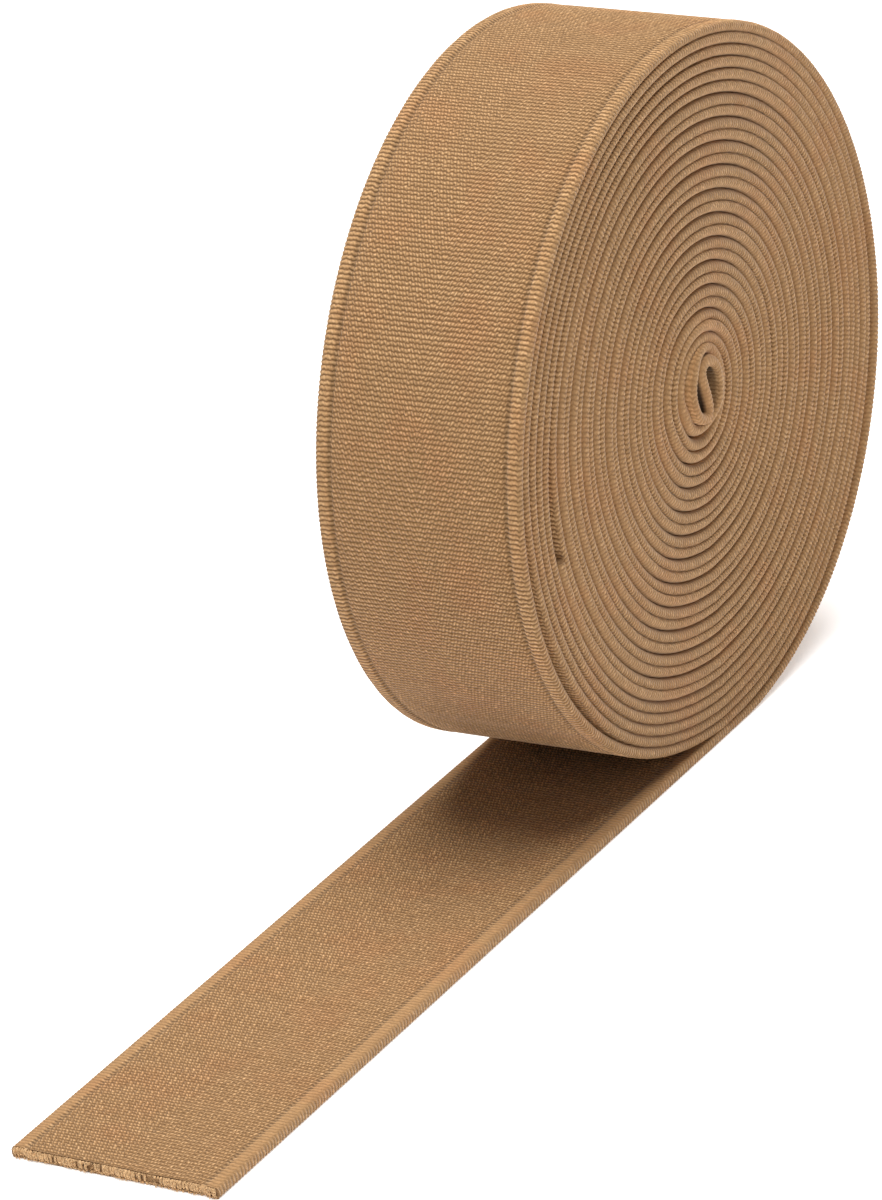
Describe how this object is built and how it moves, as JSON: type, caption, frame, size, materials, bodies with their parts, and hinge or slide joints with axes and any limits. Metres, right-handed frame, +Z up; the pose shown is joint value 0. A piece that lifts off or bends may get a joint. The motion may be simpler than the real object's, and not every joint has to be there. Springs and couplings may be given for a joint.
{
  "type": "roll of elastic",
  "caption": "Flat woven elastic tape wound on itself into a roll that stands on its rim, with its outer end laid out flat along the surface.",
  "frame": {"origin": "on the surface that the roll stands on, under the middle of the roll", "axes": "+X along the loose end, away from its cut; +Y along the roll's axis; +Z up"},
  "size_m": [0.2486, 0.038, 0.1268],
  "materials": {
    "elastic": "matt tan woven elastic with fine cross ribs and a stitched selvedge"
  },
  "bodies": {
    "root": {"roll": "elastic", "loose_end": "elastic"}
  },
  "joints": []
}
